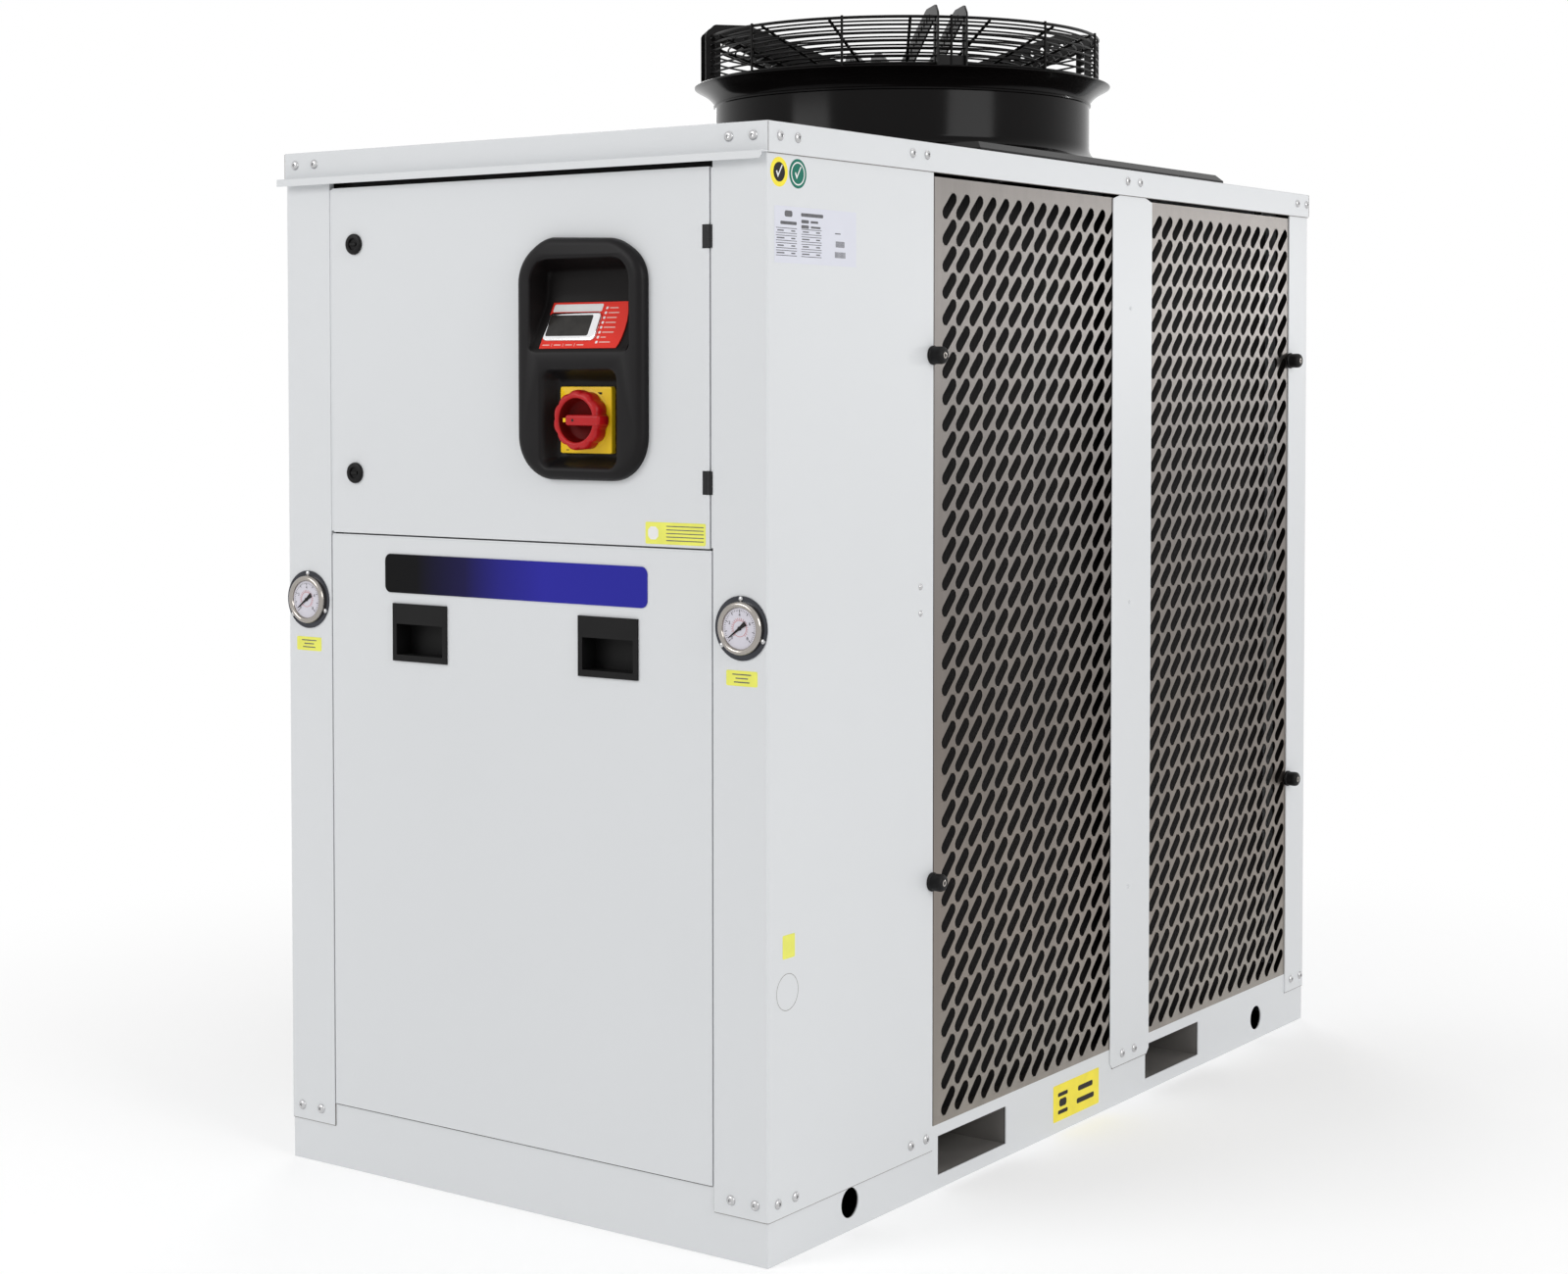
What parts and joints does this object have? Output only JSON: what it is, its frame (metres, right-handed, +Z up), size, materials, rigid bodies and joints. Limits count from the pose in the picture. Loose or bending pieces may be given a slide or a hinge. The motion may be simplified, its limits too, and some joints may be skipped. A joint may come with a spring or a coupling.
{
  "type": "process water chiller",
  "caption": "Closed light grey cabinet on a fork lift base, with louvre slotted side grilles, a hinged control door, gauges and a guarded roof fan.",
  "frame": {"origin": "on the floor, under the middle of the whole object's bounding box", "axes": "+X across the front towards the door hinges, +Y from the control front to the back, +Z up"},
  "size_m": [0.916, 1.6606, 1.736],
  "materials": {
    "grey_paint": "light grey powder coat, satin",
    "stainless": "brushed stainless sheet",
    "coil_fins": "black coated fins",
    "black_plastic": "black moulded, fine grain",
    "brand_plate": "glossy film, black running to blue, bare",
    "box_metal": "light grey powder coat",
    "black_metal": "black coat",
    "red_label": "glossy red film",
    "display": "dark window in a bright frame",
    "yellow_plastic": "glossy yellow moulding",
    "red_plastic": "satin red moulding",
    "gauge_steel": "polished stainless",
    "fan_black": "gloss black coat",
    "motor_metal": "black painted casting",
    "impeller_black": "black coated blades"
  },
  "bodies": {
    "cabinet": {"base_side_rail_left": "grey_paint", "base_side_rail_right": "grey_paint", "base_front_rail": "grey_paint", "base_rear_rail": "grey_paint", "base_floor": "grey_paint", "fork_pocket_front": "grey_paint", "fork_pocket_rear": "grey_paint", "corner_panel_front_left": "grey_paint", "corner_panel_front_right": "grey_paint", "corner_panel_rear_left": "grey_paint", "corner_panel_rear_right": "grey_paint", "middle_post_left": "grey_paint", "middle_post_right": "grey_paint", "grille_front_left": "stainless", "grille_front_right": "stainless", "grille_rear_left": "stainless", "grille_rear_right": "stainless", "condenser_coil_left": "coil_fins", "condenser_coil_right": "coil_fins", "lower_front_panel": "grey_paint", "panel_handles": "black_plastic", "brand_plate": "brand_plate", "rear_panel": "grey_paint", "roof_cap": "grey_paint", "drip_visor": "grey_paint", "electrical_box": "box_metal", "frame_hinges": "black_metal", "pressure_gauge_left": "gauge_steel", "pressure_gauge_right": "gauge_steel", "grille_knobs": "black_plastic", "fan_plate": "fan_black", "fan_shroud": "fan_black", "fan_arms": "fan_black", "fan_guard": "fan_black", "fan_motor": "motor_metal"},
    "door": {"control_door": "grey_paint", "door_locks": "black_plastic", "door_hinges": "black_metal", "control_bezel": "black_plastic", "controller_plate": "red_label", "controller_display": "display", "switch_plate": "yellow_plastic"},
    "handle": {"switch_handle": "red_plastic"},
    "impeller": {"fan_impeller": "impeller_black"}
  },
  "joints": [
    {"name": "door_hinge", "type": "hinge", "parent": "cabinet", "child": "door", "pos_m": [0.3435, -0.80675, 1.1755], "axis": [0, 0, 1], "range_deg": [0, 110]},
    {"name": "switch_turn", "type": "hinge", "parent": "door", "child": "handle", "pos_m": [0.132, -0.80775, 1.0955], "axis": [0, 1, 0], "range_deg": [0, 90]},
    {"name": "fan_spin", "type": "hinge", "parent": "cabinet", "child": "impeller", "pos_m": [0, 0.17125, 1.546], "axis": [0, 0, 1], "continuous": true}
  ]
}
